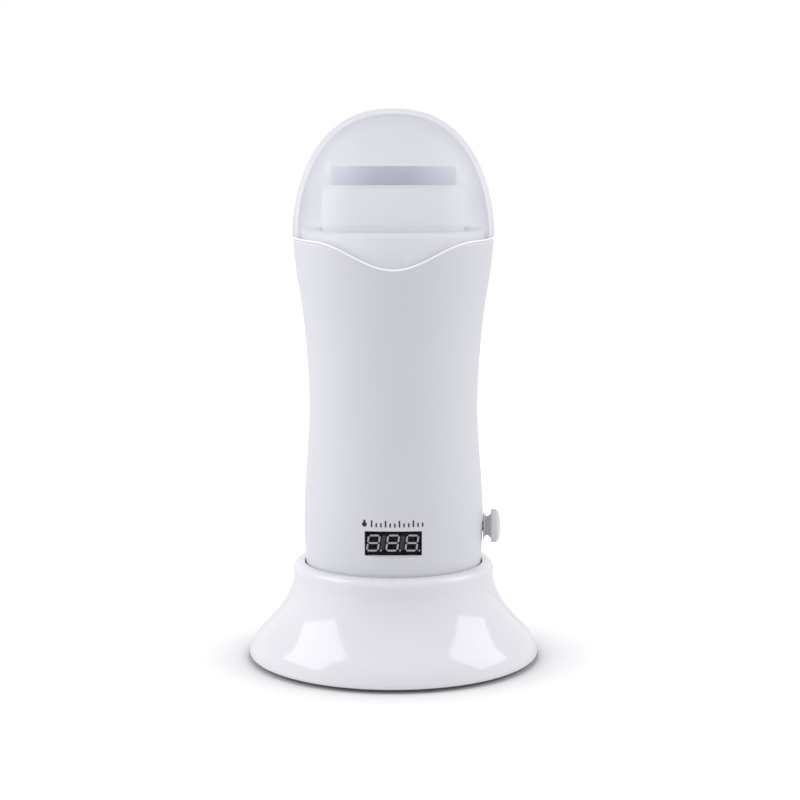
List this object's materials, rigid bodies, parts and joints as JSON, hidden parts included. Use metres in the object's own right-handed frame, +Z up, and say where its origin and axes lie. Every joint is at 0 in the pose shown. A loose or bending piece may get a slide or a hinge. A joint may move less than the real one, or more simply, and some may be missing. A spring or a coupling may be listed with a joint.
{
  "type": "roll-on wax heater",
  "caption": "Hand-held oval wax cartridge heater with a display, a side thermostat knob and a domed cap, standing in a flared docking base.",
  "frame": {"origin": "on the table, under the middle of the docking base", "axes": "+Z up along the heater and +X towards the thermostat knob, so the display faces -Y and the mains inlet +Y"},
  "size_m": [0.116, 0.1102, 0.2192],
  "materials": {
    "body_white": "fine satin, off-white",
    "base_white": "polished, white",
    "cap_frosted": "frosted translucent plastic",
    "collar_white": "satin, white",
    "liner_grey": "natural heat-resistant plastic",
    "knob_white": "fine matte, off-white",
    "black_plastic": "matte black",
    "display_face": "glossy black",
    "segment_grey": "unlit light grey",
    "window_clear": "clear smoked plastic",
    "board_green": "solder mask, green",
    "component_dark": "moulded packages",
    "aluminium_plate": "machined",
    "heater_ceramic": "wrapped ceramic heater",
    "steel_spring": "spring steel",
    "steel_zinc": "zinc plated",
    "brass_contact": "drawn brass",
    "lead_insulation": "silicone insulated leads",
    "foot_rubber": "soft rubber, dark grey",
    "cartridge_clear": "translucent plastic",
    "wax": "solid wax, pale blue",
    "roller_grey": "smooth pale blue-grey plastic"
  },
  "bodies": {
    "base": {"base_shell": "base_white", "base_bottom_plate": "base_white", "rubber_feet": "foot_rubber", "base_screws": "steel_zinc", "mains_inlet": "black_plastic", "mains_pins": "steel_zinc", "dock_connector": "black_plastic", "dock_contacts": "brass_contact", "base_leads": "lead_insulation"},
    "heater": {"front_shell": "body_white", "rear_shell": "body_white", "shell_screws": "steel_zinc", "collar": "collar_white", "cartridge_well": "liner_grey", "heating_plate": "aluminium_plate", "ptc_heater": "heater_ceramic", "ptc_clamp": "steel_spring", "thermal_fuse": "steel_zinc", "temperature_sensor": "component_dark", "foot_inlet": "black_plastic", "foot_pins": "steel_zinc", "control_board": "board_green", "board_components": "component_dark", "board_screws": "steel_zinc", "display_module": "display_face", "display_digits": "segment_grey", "display_window": "window_clear", "potentiometer": "steel_zinc", "pot_nut": "steel_zinc", "heater_leads": "lead_insulation"},
    "knob": {"thermostat_knob": "knob_white", "pot_shaft": "steel_zinc"},
    "cartridge": {"cartridge_container": "cartridge_clear", "cartridge_head": "cartridge_clear", "wax_fill": "wax"},
    "roller": {"roller": "roller_grey"},
    "cap": {"dome_cap": "cap_frosted"}
  },
  "joints": [
    {"name": "heater_lift", "type": "slide", "parent": "base", "child": "heater", "axis": [0, 0, 1], "range_m": [0, 0.1]},
    {"name": "knob_turn", "type": "hinge", "parent": "heater", "child": "knob", "pos_m": [0.0392, 0, 0.0533], "axis": [1, 0, 0], "range_deg": [-270, 0]},
    {"name": "cartridge_lift", "type": "slide", "parent": "heater", "child": "cartridge", "axis": [0, 0, 1], "range_m": [0, 0.12]},
    {"name": "roller_spin", "type": "hinge", "parent": "cartridge", "child": "roller", "pos_m": [0, 0, 0.1875], "axis": [1, 0, 0], "continuous": true},
    {"name": "cap_lift", "type": "slide", "parent": "cartridge", "child": "cap", "axis": [0, 0, 1], "range_m": [0, 0.06]}
  ]
}
